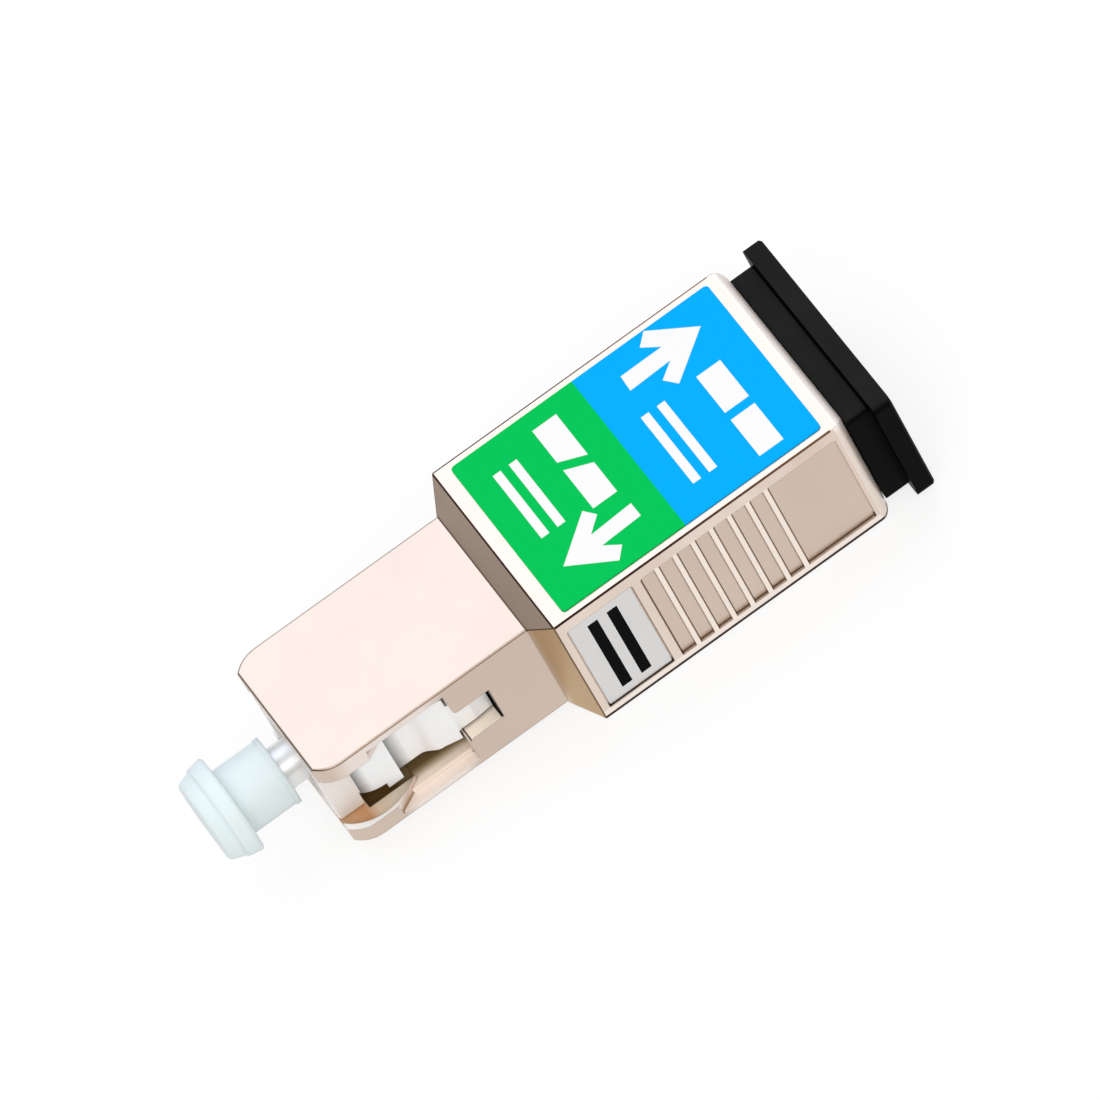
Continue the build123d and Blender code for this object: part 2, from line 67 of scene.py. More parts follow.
# Stations in millimetres behind the plug's front
NOSE_END = 1.6
CAM_START = 2.76
CREST_END = 3.88
CAM_END = 4.42
WINDOW_END = 7.6
ARM_BEND = 8.60
SLOT_END = 9.75
PLUG_END = 12.95
NECK_END = 14.02
FIRST_RIB = 19.05
RIBS_END = 27.0
RECESS_START = 14.4
RECESS_END = 31.3
FIELDS_MEET = 22.5

# Heights and half widths in millimetres off the optical axis
PLUG_SIDE = 4.495
PLUG_TOP = 3.695
WINDOW_FLOOR = 2.85
RIM_TOP = 2.45
POCKET_FLOOR = 3.30
LEDGE = 3.195
LEDGE_SIDE = 3.82
SLOT_WALL = 1.35
RECESS_SIDE = 5.92
RECESS_TOP = 3.81
RECESS_FOOT = -3.94

# Other sizes in millimetres: between two ribs, round the body's rear corner, and the dust plug's flange
RIB_PITCH = 1.13
CORNER_RADIUS = 0.60
COVER_THICKNESS = 1.1

# How far a face is turned towards an axis when it mostly faces along it
MOSTLY = (0.5, 1.1)


def at(x, y, z):
    """A point given in mm behind the plug's front, off the axis to the far side, and above the axis."""
    return Vector((front + x * MM, y * MM, axis_z + z * MM))


# Materials


class Shader:
    """A material with its shader, and short calls for the nodes that feed it."""

    def __init__(self, name):
        self.mat = bpy.data.materials.new(name)
        self.mat.use_nodes = True
        self.tree = self.mat.node_tree
        self.bsdf = self.tree.nodes["Principled BSDF"]
        self.coords = self.tree.nodes.new("ShaderNodeTexCoord")
        self.place = self.tree.nodes.new("ShaderNodeSeparateXYZ")
        self.link(self.coords.outputs["Object"], self.place.inputs["Vector"])
        geometry = self.tree.nodes.new("ShaderNodeNewGeometry")
        self.facing = self.tree.nodes.new("ShaderNodeSeparateXYZ")
        self.link(geometry.outputs["Normal"], self.facing.inputs["Vector"])

    def node(self, kind, **inputs):
        made = self.tree.nodes.new(kind)
        for key, value in inputs.items():
            made.inputs[key.replace("_", " ")].default_value = value
        return made

    def link(self, out, into):
        self.tree.links.new(out, into)

    def set(self, **values):
        for key, value in values.items():
            self.bsdf.inputs[key.replace("_", " ")].default_value = value

    def noise(self, scale, detail=2.0, stretch=(1, 1, 1)):
        mapping = self.tree.nodes.new("ShaderNodeMapping")
        mapping.inputs["Scale"].default_value = stretch
        self.link(self.coords.outputs["Object"], mapping.inputs["Vector"])
        made = self.tree.nodes.new("ShaderNodeTexNoise")
        made.inputs["Scale"].default_value = scale
        made.inputs["Detail"].default_value = detail
        self.link(mapping.outputs["Vector"], made.inputs["Vector"])
        return made.outputs["Fac"]

    def span(self, value, low, high, start=0.3, stop=0.7):
        made = self.tree.nodes.new("ShaderNodeMapRange")
        made.inputs["From Min"].default_value = start
        made.inputs["From Max"].default_value = stop
        made.inputs["To Min"].default_value = low
        made.inputs["To Max"].default_value = high
        self.link(value, made.inputs["Value"])
        return made.outputs["Result"]

    def mix(self, factor, first, second):
        made = self.tree.nodes.new("ShaderNodeMix")
        made.data_type = "RGBA"
        self.link(factor, made.inputs["Factor"])
        for slot, value in ((6, first), (7, second)):
            if hasattr(value, "links"):
                self.link(value, made.inputs[slot])
            else:
                made.inputs[slot].default_value = (*value, 1.0)
        return made.outputs[2]

    def calc(self, operation, *values):
        """One step of arithmetic on sockets and numbers."""
        made = self.tree.nodes.new("ShaderNodeMath")
        made.operation = operation
        for index, value in enumerate(values):
            if hasattr(value, "links"):
                self.link(value, made.inputs[index])
            else:
                made.inputs[index].default_value = value
        return made.outputs[0]

    def along(self):
        """Millimetres behind the plug's front."""
        return self.calc("MULTIPLY_ADD", self.place.outputs["X"], 1000.0, -front * 1000.0)

    def aside(self):
        """Millimetres off the axis to either side."""
        return self.calc("MULTIPLY", self.calc("ABSOLUTE", self.place.outputs["Y"]), 1000.0)

    def level(self):
        """Millimetres above the axis."""
        return self.calc("MULTIPLY_ADD", self.place.outputs["Z"], 1000.0, -axis_z * 1000.0)

    def off_axis(self):
        """Millimetres above or below the axis."""
        return self.calc("ABSOLUTE", self.level())

    def turned(self, axis):
        """How far a face is turned towards an axis, from 0 to 1."""
        return self.calc("ABSOLUTE", self.facing.outputs[axis])

    def where(self, *bounds):
        """1 where every value lies between its limits, and 0 elsewhere."""
        total = None
        for value, low, high in bounds:
            off_middle = self.calc("ABSOLUTE", self.calc("SUBTRACT", value, (low + high) / 2))
            inside = self.calc("LESS_THAN", off_middle, (high - low) / 2)
            total = inside if total is None else self.calc("MULTIPLY", total, inside)
        return total

    def lay(self, tone, mask, colour):
        """A zone's colour, here painted light or shade, over the tone, with the same faint grain in it."""
        grain = self.span(self.noise(420, 3), 0.0, 1.0)
        return self.mix(mask, tone, self.mix(grain, colour, tuple(1.035 * c for c in colour)))

    def blend(self, value, *stops):
        """Colours that follow a value in millimetres from stop to stop."""
        made = self.tree.nodes.new("ShaderNodeValToRGB")
        first, last = stops[0][0], stops[-1][0]
        while len(made.color_ramp.elements) < len(stops):
            made.color_ramp.elements.new(0.5)
        for element, (place, colour) in zip(made.color_ramp.elements, stops):
            element.position = (place - first) / (last - first)
            element.color = (*colour, 1.0)
        self.link(self.span(value, 0.0, 1.0, first, last), made.inputs["Fac"])
        return made.outputs["Color"]

    def length(self, first, second):
        """The length of a step with these two parts."""
        squares = self.calc("ADD", self.calc("POWER", first, 2.0), self.calc("POWER", second, 2.0))
        return self.calc("SQRT", squares)

    def both(self, *masks):
        """The product of masks."""
        total = masks[0]
        for mask in masks[1:]:
            total = self.calc("MULTIPLY", total, mask)
        return total

    def either(self, *masks):
        """The highest of masks."""
        total = masks[0]
        for mask in masks[1:]:
            total = self.calc("MAXIMUM", total, mask)
        return total

    def bevel(self, radius):
        made = self.node("ShaderNodeBevel", Radius=radius)
        made.samples = 6
        return made.outputs["Normal"]

    def edge(self, bevelled, start=0.0, stop=0.25):
        """1 on a rounded edge and 0 on the flat."""
        geometry = self.tree.nodes.new("ShaderNodeNewGeometry")
        dot = self.tree.nodes.new("ShaderNodeVectorMath")
        dot.operation = "DOT_PRODUCT"
        self.link(bevelled, dot.inputs[0])
        self.link(geometry.outputs["Normal"], dot.inputs[1])
        away = self.tree.nodes.new("ShaderNodeMath")
        away.operation = "SUBTRACT"
        away.inputs[0].default_value = 1.0
        self.link(dot.outputs["Value"], away.inputs[1])
        return self.span(away.outputs[0], 0.0, 1.0, start, stop)

    def bump(self, height, strength, distance, normal=None):
        made = self.node("ShaderNodeBump", Strength=strength, Distance=distance)
        self.link(height, made.inputs["Height"])
        if normal is not None:
            self.link(normal, made.inputs["Normal"])
        return made.outputs["Normal"]


class Casting(Shader):
    """Champagne anodised die casting: satin, with painted light and shade: a golden reflection painted on
    the neck's flanks, painted highlights, and painted shade inside the window and along its edges.
    """

    def __init__(self):
        super().__init__("champagne_metal")
        self.x, self.y, self.z, self.height = self.along(), self.aside(), self.level(), self.off_axis()
        self.sideways, self.upright, self.forward = self.turned("Y"), self.turned("Z"), self.turned("X")
        drift = self.span(self.noise(150, 2), 0.0, 1.0)
        self.tone = self.mix(drift, (0.612, 0.495, 0.412), (0.640, 0.520, 0.432))
        self.body()
        self.plug()
        self.window()
        rounded = self.bevel(0.07 * MM)
        self.painted_edge_shade(rounded)
        self.recess_lines()
        self.ridges()
        self.body_lines()
        self.neck_lines()
        self.link(self.tone, self.bsdf.inputs["Base Color"])
        satin = self.span(self.noise(900, 2), 0.27, 0.30)
        rough = self.calc("ADD", satin, self.calc("MULTIPLY", self.pale, 0.15))
        self.link(rough, self.bsdf.inputs["Roughness"])
        metal = self.calc("SUBTRACT", 1.0, self.calc("MULTIPLY", self.pale, 0.85))
        self.link(metal, self.bsdf.inputs["Metallic"])
        self.link(rounded, self.bsdf.inputs["Normal"])

    def paint(self, mask, colour):
        """A zone in a colour or in another socket's colours."""
        self.tone = self.mix(mask, self.tone, colour)

    def tint(self, mask, colour):
        """A zone in a colour with the faint grain in it."""
        self.tone = self.lay(self.tone, mask, colour)

    def body(self):
        """The frame that stands proud on the sides with a painted sheen, highlights painted on its ribs and
        base band, the neck's flanks with a painted golden reflection, and a top painted paler as if lit from
        above.
        """
        # Painted sheen: the raised frame on the sides is painted paler than the recess, with streaks of
        # sheen.
        sheen_streaks = self.span(self.noise(300, 1, (1.0, 1.0, 0.15)), 0.0, 1.0, 0.35, 0.65)
        raised = self.where((self.y, RECESS_SIDE + 0.07, BODY_SIDE + 1), (self.sideways, 0.6, 1.1))
        self.paint(raised, self.mix(sheen_streaks, (0.720, 0.590, 0.500), (0.810, 0.690, 0.610)))
        # Painted highlight: the ribs are painted paler than the frame.
        ribs = self.where((self.x, FIRST_RIB + 0.75, RIBS_END), (self.z, RECESS_FOOT, RECESS_TOP - 0.01))
        self.tint(self.both(raised, ribs), (0.900, 0.790, 0.700))
        # Painted light: the frame's band along the base is painted paler.
        base_band = self.where((self.z, -BODY_BASE - 0.05, RECESS_FOOT))
        self.tint(self.both(raised, base_band), (0.880, 0.785, 0.715))
        # Painted reflection: the neck's flanks are painted brassy gold, paler where they meet the plug.
        golden_reflection = self.blend(
            self.x,
            (PLUG_END, (0.590, 0.460, 0.345)),
            (PLUG_END + 0.27, (0.490, 0.325, 0.160)),
            (NECK_END, (0.470, 0.305, 0.150)),
        )
        self.paint(self.where((self.x, PLUG_END + 0.01, NECK_END - 0.01), (self.sideways, 0.3, 0.8)), golden_reflection)
        # Painted light: the body's top is painted paler than its sides, as if lit from above.
        top = self.where(
            (self.x, NECK_END - 0.02, REAR + 0.13),
            (self.z, BODY_TOP - 0.02, BODY_TOP + 1),
            (self.upright, 0.9, 1.1),
        )
        self.tint(top, (0.690, 0.560, 0.470))
        self.rear_round = self.where(
            (self.x, REAR - 0.72, REAR + 0.23), (self.upright, -0.1, 0.995), (self.sideways, -0.1, 0.995)
        )
        # Painted light: the rounded rear edge is painted paler towards the top, so it shades like the flat
        # top.
        rear_highlight_tones = self.blend(self.z, (3.9, (0.860, 0.745, 0.660)), (4.6, (1.000, 0.920, 0.860)))
        self.paint(self.rear_round, rear_highlight_tones)

    def plug(self):
        """Painted highlights: a bright lip over the window and a bright rail under it."""
        side = self.where((self.y, PLUG_SIDE - 0.295, PLUG_SIDE + 0.105), (self.sideways, *MOSTLY))
        lip_start = self.span(self.x, 0.0, 1.0, 0.7, 1.8)
        lip_stop = self.span(self.x, 1.0, 0.0, 6.4, 7.5)
        lip_highlight = self.both(lip_start, lip_stop, side, self.where((self.z, 2.3, 3.62)))
        self.tint(lip_highlight, (0.830, 0.730, 0.670))
        # Painted highlight on the rail under the window.
        rail_start = self.span(self.x, 0.0, 1.0, 2.9, 3.8)
        rail_stop = self.span(self.x, 1.0, 0.0, 6.6, WINDOW_END)
        rail = self.both(rail_start, rail_stop, side, self.where((self.z, -3.62, -3.12)))
        self.tint(rail, (0.840, 0.735, 0.665))

    def window(self):
        """Inside the window, painted light and shade: copper at the front, cream farther in, olive shade
        beside the latch arm, highlights on the rim, ledge and walls, and shade on the cam and in the pocket.
        """
        inside = self.where(
            (self.x, -0.1, WINDOW_END + 0.05),
            (self.height, WINDOW_FLOOR - 0.06, WINDOW_FLOOR + 0.06),
            (self.upright, *MOSTLY),
            (self.y, 0.0, 4.6),
        )
        # Painted reflection and shade on the window's floor: copper reflection at the front, cream farther
        # in, and dark olive shade next to the latch arm.
        front_floor_reflection = self.blend(
            self.x,
            (0.4, (0.62, 0.37, 0.20)),
            (1.35, (0.66, 0.33, 0.15)),
            (1.95, (0.97, 0.76, 0.56)),
            (3.0, (1.0, 0.88, 0.70)),
        )
        rear_floor_shade = self.blend(
            self.y, (2.85, (0.20, 0.13, 0.05)), (3.10, (0.42, 0.31, 0.17)), (3.50, (1.0, 0.86, 0.70))
        )
        self.paint(inside, self.mix(self.span(self.x, 0.0, 1.0, 3.7, 4.2), front_floor_reflection, rear_floor_shade))
        rim = self.where(
            (self.x, -0.1, 4.7), (self.height, RIM_TOP - 0.07, RIM_TOP + 0.07), (self.upright, *MOSTLY)
        )
        # Painted highlight on the rim's top, brightest at the front.
        rim_highlight_tones = self.blend(
            self.x,
            (0.0, (1.0, 0.985, 0.965)),
            (1.9, (1.0, 0.970, 0.945)),
            (2.8, (0.96, 0.87, 0.81)),
            (4.4, (0.80, 0.62, 0.50)),
        )
        self.paint(rim, rim_highlight_tones)
        ledge_face = self.where(
            (self.x, 3.0, WINDOW_END + 0.02),
            (self.height, 2.80, 3.25),
            (self.y, 3.55, 4.0),
            (self.sideways, 0.8, 1.1),
        )
        ledge_top = self.where(
            (self.x, 2.7, WINDOW_END + 0.02),
            (self.height, LEDGE - 0.075, LEDGE + 0.065),
            (self.y, LEDGE_SIDE - 0.27, 4.6),
            (self.upright, *MOSTLY),
        )
        # Painted light: the ledge's face and top are painted pale cream so their shade hardly shows.
        ledge = self.either(ledge_face, ledge_top)
        self.tint(ledge, (0.985, 0.860, 0.765))
        cam = self.where(
            (self.x, CAM_START - 0.06, CAM_END + 0.08),
            (self.height, 2.40, 3.25),
            (self.forward, 0.30, 0.75),
            (self.sideways, 0.6, 0.95),
        )
        # Painted shade on the cam's slope, darker towards its foot.
        cam_shade_tones = self.blend(
            self.height, (2.45, (0.80, 0.70, 0.66)), (2.85, (0.66, 0.55, 0.50)), (3.10, (0.40, 0.26, 0.13))
        )
        self.paint(cam, cam_shade_tones)
        # Painted light: the slot's walls are painted bright cream in place of the shade the tab casts on
        # them.
        slot_walls = self.where(
            (self.x, WINDOW_END, SLOT_END + 0.05),
            (self.height, SLOT_WALL - 0.10, SLOT_WALL + 0.10),
            (self.upright, *MOSTLY),
        )
        self.tint(slot_walls, (1.000, 0.880, 0.735))
        # Painted light: the window's rear wall is painted paler in place of its shade.
        rear_wall = self.where(
            (self.x, WINDOW_END - 0.15, WINDOW_END + 0.15),
            (self.height, -0.1, 2.92),
            (self.y, 2.6, 4.46),
            (self.forward, *MOSTLY),
        )
        self.tint(rear_wall, (0.930, 0.820, 0.740))
        # Painted shade in the pocket under the ramp, darkest towards the front.
        pocket = self.where(
            (self.x, 1.5, 4.45), (self.height, 2.9, POCKET_FLOOR + 0.1), (self.y, 0.0, 3.25)
        )
        self.paint(pocket, self.blend(self.x, (3.3, (0.150, 0.080, 0.020)), (4.4, (0.400, 0.290, 0.140))))
        rear_share = self.calc("MULTIPLY", self.rear_round, 0.6)
        self.pale = self.either(inside, rim, ledge, slot_walls, rear_wall, pocket, rear_share)
        # Painted shadow: near black in the gap at the slot's rear end.
        end_gap_shadow = self.where(
            (self.x, SLOT_END - 0.13, SLOT_END + 0.05), (self.height, -0.1, 1.42), (self.y, 2.0, 4.46)
        )
        self.paint(end_gap_shadow, (0.012, 0.008, 0.006))

    def painted_edge_shade(self, rounded):
        """Painted shade: dark lines on the sharp edges, fainter in the window and none at its rail and the
        body's rear.
        """
        in_window = self.where((self.x, -0.1, 9.8), (self.y, 0.0, 4.45), (self.height, 0.0, POCKET_FLOOR))
        rail = self.where((self.x, 2.95, WINDOW_END + 0.1), (self.height, 3.0, 3.4), (self.y, 4.2, 4.7))
        window_rear = self.where(
            (self.x, WINDOW_END - 0.25, WINDOW_END + 0.25), (self.height, 1.0, 3.3), (self.y, 4.0, 4.7)
        )
        body_rear = self.where((self.x, RECESS_END - 0.3, REAR + 0.43))
        plain = self.either(self.calc("MULTIPLY", in_window, 0.55), rail, window_rear, body_rear)
        edge_shade = self.both(self.edge(rounded, 0.03, 0.16), self.calc("SUBTRACT", 1.0, plain))
        self.paint(self.calc("MULTIPLY", edge_shade, 0.85), (0.175, 0.110, 0.070))

    def recess_lines(self):
        """Shadow lines at the foot of the side recess and beside each rib."""
        foot = self.where(
            (self.x, RECESS_START, RECESS_END),
            (self.z, RECESS_FOOT - 0.26, RECESS_FOOT + 0.19),
            (self.y, RECESS_SIDE - 0.07, BODY_SIDE + 0.02),
            (self.upright, *MOSTLY),
        )
        foot_tones = self.blend(
            self.y,
            (RECESS_SIDE, (0.030, 0.019, 0.014)),
            (RECESS_SIDE + 0.05, (0.100, 0.072, 0.056)),
            (RECESS_SIDE + 0.10, (0.380, 0.315, 0.270)),
        )
        self.paint(foot, foot_tones)
        since_rib = self.calc("MODULO", self.calc("SUBTRACT", self.x, FIRST_RIB), RIB_PITCH)
        beside_rib = self.where(
            (since_rib, -0.02, 0.095),
            (self.x, FIRST_RIB - 0.05, RIBS_END + 0.2),
            (self.y, RECESS_SIDE - 0.07, RECESS_SIDE + 0.04),
            (self.z, RECESS_FOOT - 0.01, RECESS_TOP - 0.01),
        )
        self.paint(beside_rib, (0.150, 0.088, 0.052))

    def ridges(self):
        """Painted shade: dark lines on the slant of the small fillets along the plug and the body."""
        slanted = self.calc("SQRT", self.calc("SUBTRACT", 1.0, self.calc("POWER", self.upright, 2.0)))
        ridge = self.span(self.calc("MULTIPLY", slanted, self.upright), 0.0, 1.0, 0.44, 0.49)
        on_plug = self.where((self.x, -1.0, PLUG_END - 0.05))
        on_body = self.where((self.x, NECK_END + 0.08, RECESS_END))
        towards_front = self.span(self.forward, 0.0, 1.0, 0.25, 0.5)
        tones = self.mix(towards_front, (0.185, 0.120, 0.085), (0.040, 0.018, 0.012))
        self.paint(self.both(ridge, self.either(on_plug, on_body)), tones)

    def body_lines(self):
        """Painted shade: dark lines along the body's top and base, round its rear corner and under the plug.
        """
        top_edge = self.both(
            self.where((self.x, NECK_END - 0.07, RECESS_END - 0.1)),
            self.where((self.y, BODY_SIDE - 0.07, BODY_SIDE + 1), (self.z, BODY_TOP - 0.12, BODY_TOP + 1)),
        )
        edge_tones = self.blend(
            self.x,
            (14.0, (0.022, 0.009, 0.006)),
            (21.0, (0.040, 0.018, 0.010)),
            (30.0, (0.150, 0.075, 0.036)),
        )
        self.paint(top_edge, edge_tones)
        base_line = self.where(
            (self.x, NECK_END - 0.07, REAR - 0.57),
            (self.y, BODY_SIDE - 0.75, BODY_SIDE + 1),
            (self.z, -BODY_BASE - 1, -BODY_BASE + 0.20),
        )
        past_corner = self.calc("SUBTRACT", self.x, REAR - CORNER_RADIUS)
        under_corner = self.calc("ADD", self.z, BODY_BASE - CORNER_RADIUS)
        corner_line = self.where(
            (past_corner, 0.0, 1.0),
            (under_corner, -1.0, 0.0),
            (self.length(past_corner, under_corner), CORNER_RADIUS - 0.15, 1.5),
            (self.sideways, 0.3, 1.1),
            (self.y, 5.0, 7.0),
        )
        self.paint(self.either(base_line, corner_line), (0.030, 0.014, 0.009))
        plug_base = self.where(
            (self.x, 0.5, PLUG_END), (self.y, 4.2, 4.6), (self.z, -PLUG_TOP - 0.105, -PLUG_TOP + 0.145)
        )
        self.paint(plug_base, (0.210, 0.130, 0.085))

    def neck_lines(self):
        """Painted shade: dark lines round the neck, where it meets the body and the plug and down its
        corners.
        """
        neck_top = self.where(
            (self.x, PLUG_END + 0.05, NECK_END + 0.05), (self.z, BODY_TOP - 0.05, BODY_TOP + 1)
        )
        self.paint(neck_top, (0.055, 0.032, 0.024))
        neck_side = self.where(
            (self.x, PLUG_END + 0.05, NECK_END + 0.04), (self.y, BODY_SIDE - 0.06, BODY_SIDE + 1)
        )
        self.paint(neck_side, (0.140, 0.075, 0.026))
        neck_foot = self.where((self.x, PLUG_END - 0.04, PLUG_END + 0.04), (self.z, 3.60, 4.0))
        self.paint(neck_foot, (0.165, 0.115, 0.090))
        behind_foot = self.calc("SUBTRACT", self.x, PLUG_END)
        neck = NECK_END - PLUG_END
        slope_side = self.calc("MULTIPLY_ADD", behind_foot, (BODY_SIDE - PLUG_SIDE) / neck, PLUG_SIDE)
        slope_top = self.calc("MULTIPLY_ADD", behind_foot, (BODY_TOP - PLUG_TOP) / neck, PLUG_TOP)
        corner = self.where(
            (self.x, PLUG_END, NECK_END),
            (self.calc("SUBTRACT", self.y, slope_side), -0.06, 1.0),
            (self.calc("SUBTRACT", self.z, slope_top), -0.06, 1.0),
        )
        self.paint(corner, (0.150, 0.085, 0.032))


def silver(name, tone, rough, grain=(1, 1, 1)):
    """Bright pressed or turned metal with a fine grain."""
    s = Shader(name)
    low = tuple(0.97 * c for c in tone)
    s.link(s.mix(s.span(s.noise(900, 2, grain), 0.0, 1.0), low, tone), s.bsdf.inputs["Base Color"])
    s.link(s.span(s.noise(3000, 2, grain), rough, rough + 0.06), s.bsdf.inputs["Roughness"])
    s.link(s.bump(s.noise(5000, 1, grain), 0.03, 0.003 * MM, s.bevel(0.05 * MM)), s.bsdf.inputs["Normal"])
    s.set(Metallic=1.0)
    return s.mat


def latch_silver():
    """Plug frame: bright latch arms with painted shade behind the crest, a champagne nose, a dark waist of
    painted shade, and painted shadows in the slot's gaps and along the edges.
    """
    s = Shader("frame_silver")
    along, aside, height = s.along(), s.aside(), s.off_axis()
    grain = s.span(s.noise(300, 2), 0.0, 1.0)
    bright = s.mix(grain, (0.945, 0.950, 0.950), (0.975, 0.980, 0.980))
    shade = s.mix(grain, (0.215, 0.225, 0.225), (0.235, 0.245, 0.245))
    # Painted shade on the arms: darker behind the crest, at the crest's foot and faintly on the tab's bend.
    groove = s.both(s.span(along, 0.95, 0.0, CREST_END, 4.75), s.where((along, CREST_END, 6.0)))
    foot = s.both(s.span(along, 1.0, 0.0, 1.62, 2.25), s.where((along, 1.55, 2.95)))
    bend = s.both(s.span(along, 0.16, 0.0, ARM_BEND, 9.40), s.where((along, ARM_BEND, SLOT_END - 0.05)))
    tone = s.mix(s.either(groove, foot, bend), bright, shade)
    # Painted shade: the waist seen through the window is painted dark olive.
    waist_shade = s.where((along, NOSE_END, 6.9), (s.length(aside, height), 0.0, 2.72))
    tone = s.mix(waist_shade, tone, (0.150, 0.085, 0.022))
    nose = s.where((along, -1.0, NOSE_END))
    tone = s.mix(nose, tone, s.mix(grain, (0.925, 0.865, 0.810), (0.950, 0.890, 0.835)))
    # Painted shadow: near black at the tab's end in the slot's rear gap.
    tone = s.mix(s.where((along, SLOT_END - 0.12, SLOT_END + 0.15)), tone, (0.012, 0.008, 0.006))
    # Painted shadow: a dark line in the gap under the tab's lower edge.
    tab_foot_shadow = s.where(
        (along, WINDOW_END, SLOT_END - 0.05), (height, SLOT_WALL - 0.16, SLOT_WALL + 0.01), (aside, 2.0, 5.0)
    )
    tone = s.mix(tab_foot_shadow, tone, (0.060, 0.030, 0.015))
    rounded = s.bevel(0.05 * MM)
    # Painted shade: darker on the rounded edges.
    tone = s.mix(s.calc("MULTIPLY", s.edge(rounded, 0.04, 0.25), 0.5), tone, (0.20, 0.17, 0.15))
    s.link(tone, s.bsdf.inputs["Base Color"])
    s.link(s.span(s.noise(900, 2), 0.34, 0.38), s.bsdf.inputs["Roughness"])
    s.link(rounded, s.bsdf.inputs["Normal"])
    s.link(s.calc("SUBTRACT", 0.35, s.calc("MULTIPLY", nose, 0.30)), s.bsdf.inputs["Metallic"])
    return s.mat


def moulded(name, low, high, rough, round_radius=0.1, **values):
    """Moulded plastic: a slight mottle, an even sheen and soft edges."""
    s = Shader(name)
    s.link(s.mix(s.span(s.noise(500, 3), 0.0, 1.0), low, high), s.bsdf.inputs["Base Color"])
    s.link(s.span(s.noise(2600, 2), rough, rough + 0.08), s.bsdf.inputs["Roughness"])
    s.link(s.bump(s.noise(6000, 2), 0.04, 0.003 * MM, s.bevel(round_radius * MM)), s.bsdf.inputs["Normal"])
    s.set(**values)
    return s.mat


def black_plastic(flange_start):
    """Dust plug: black satin plastic, with painted shade on its flanks and a painted shadow in front of its
    flange.
    """
    s = Shader("black_plastic")
    grain = s.span(s.noise(500, 3), 0.0, 1.0)
    upper = s.mix(grain, (0.0130, 0.0130, 0.0125), (0.0160, 0.0160, 0.0152))
    flank_shade = s.mix(grain, (0.0020, 0.0020, 0.0020), (0.0030, 0.0030, 0.0030))
    # Painted shade: the flanks are painted darker than the top.
    tone = s.mix(s.span(s.turned("Y"), 0.0, 1.0, 0.45, 0.85), upper, flank_shade)
    # Painted shadow: near black in front of the flange and on its front face, where the block meets it.
    past_block = s.calc("SUBTRACT", s.along(), flange_start)
    flange_face = s.where((past_block, -0.2, 0.2), (s.turned("X"), 0.6, 1.1))
    step_shadow = s.either(s.where((past_block, -0.10, 0.02)), flange_face)
    s.link(s.mix(step_shadow, tone, (0.0004, 0.0004, 0.0004)), s.bsdf.inputs["Base Color"])
    s.link(s.span(s.noise(2600, 2), 0.40, 0.48), s.bsdf.inputs["Roughness"])
    s.link(s.bump(s.noise(6000, 2), 0.05, 0.003 * MM, s.bevel(0.12 * MM)), s.bsdf.inputs["Normal"])
    s.set(Specular_IOR_Level=0.02)
    return s.mat


def printed(name, low, high, rough=0.34):
    """Printed film: ink with a faint grain under a satin coat."""
    s = Shader(name)
    s.link(s.mix(s.span(s.noise(6000, 2), 0.0, 1.0), low, high), s.bsdf.inputs["Base Color"])
    s.link(s.span(s.noise(1500, 2), rough, rough + 0.06), s.bsdf.inputs["Roughness"])
    s.link(s.bump(s.noise(4000, 2), 0.03, 0.002 * MM, s.bevel(0.03 * MM)), s.bsdf.inputs["Normal"])
    s.set(Specular_IOR_Level=0.02)
    return s.mat


def two_fields(split_x):
    """The top label's film: green towards the plug and blue towards the socket."""
    s = Shader("label_fields")
    side = s.calc("GREATER_THAN", s.along(), split_x)
    grain = s.span(s.noise(6000, 2), 0.0, 1.0)
    green = s.mix(grain, (0.0, 0.540, 0.090), (0.001, 0.565, 0.100))
    blue = s.mix(grain, (0.0, 0.410, 0.93), (0.001, 0.430, 0.95))
    s.link(s.mix(side, green, blue), s.bsdf.inputs["Base Color"])
    s.link(s.span(s.noise(1500, 2), 0.36, 0.42), s.bsdf.inputs["Roughness"])
    flat = s.tree.nodes.new("ShaderNodeNewGeometry")
    s.link(s.bump(s.noise(4000, 2), 0.03, 0.002 * MM, flat.outputs["True Normal"]), s.bsdf.inputs["Normal"])
    s.set(Specular_IOR_Level=0.02)
    return s.mat


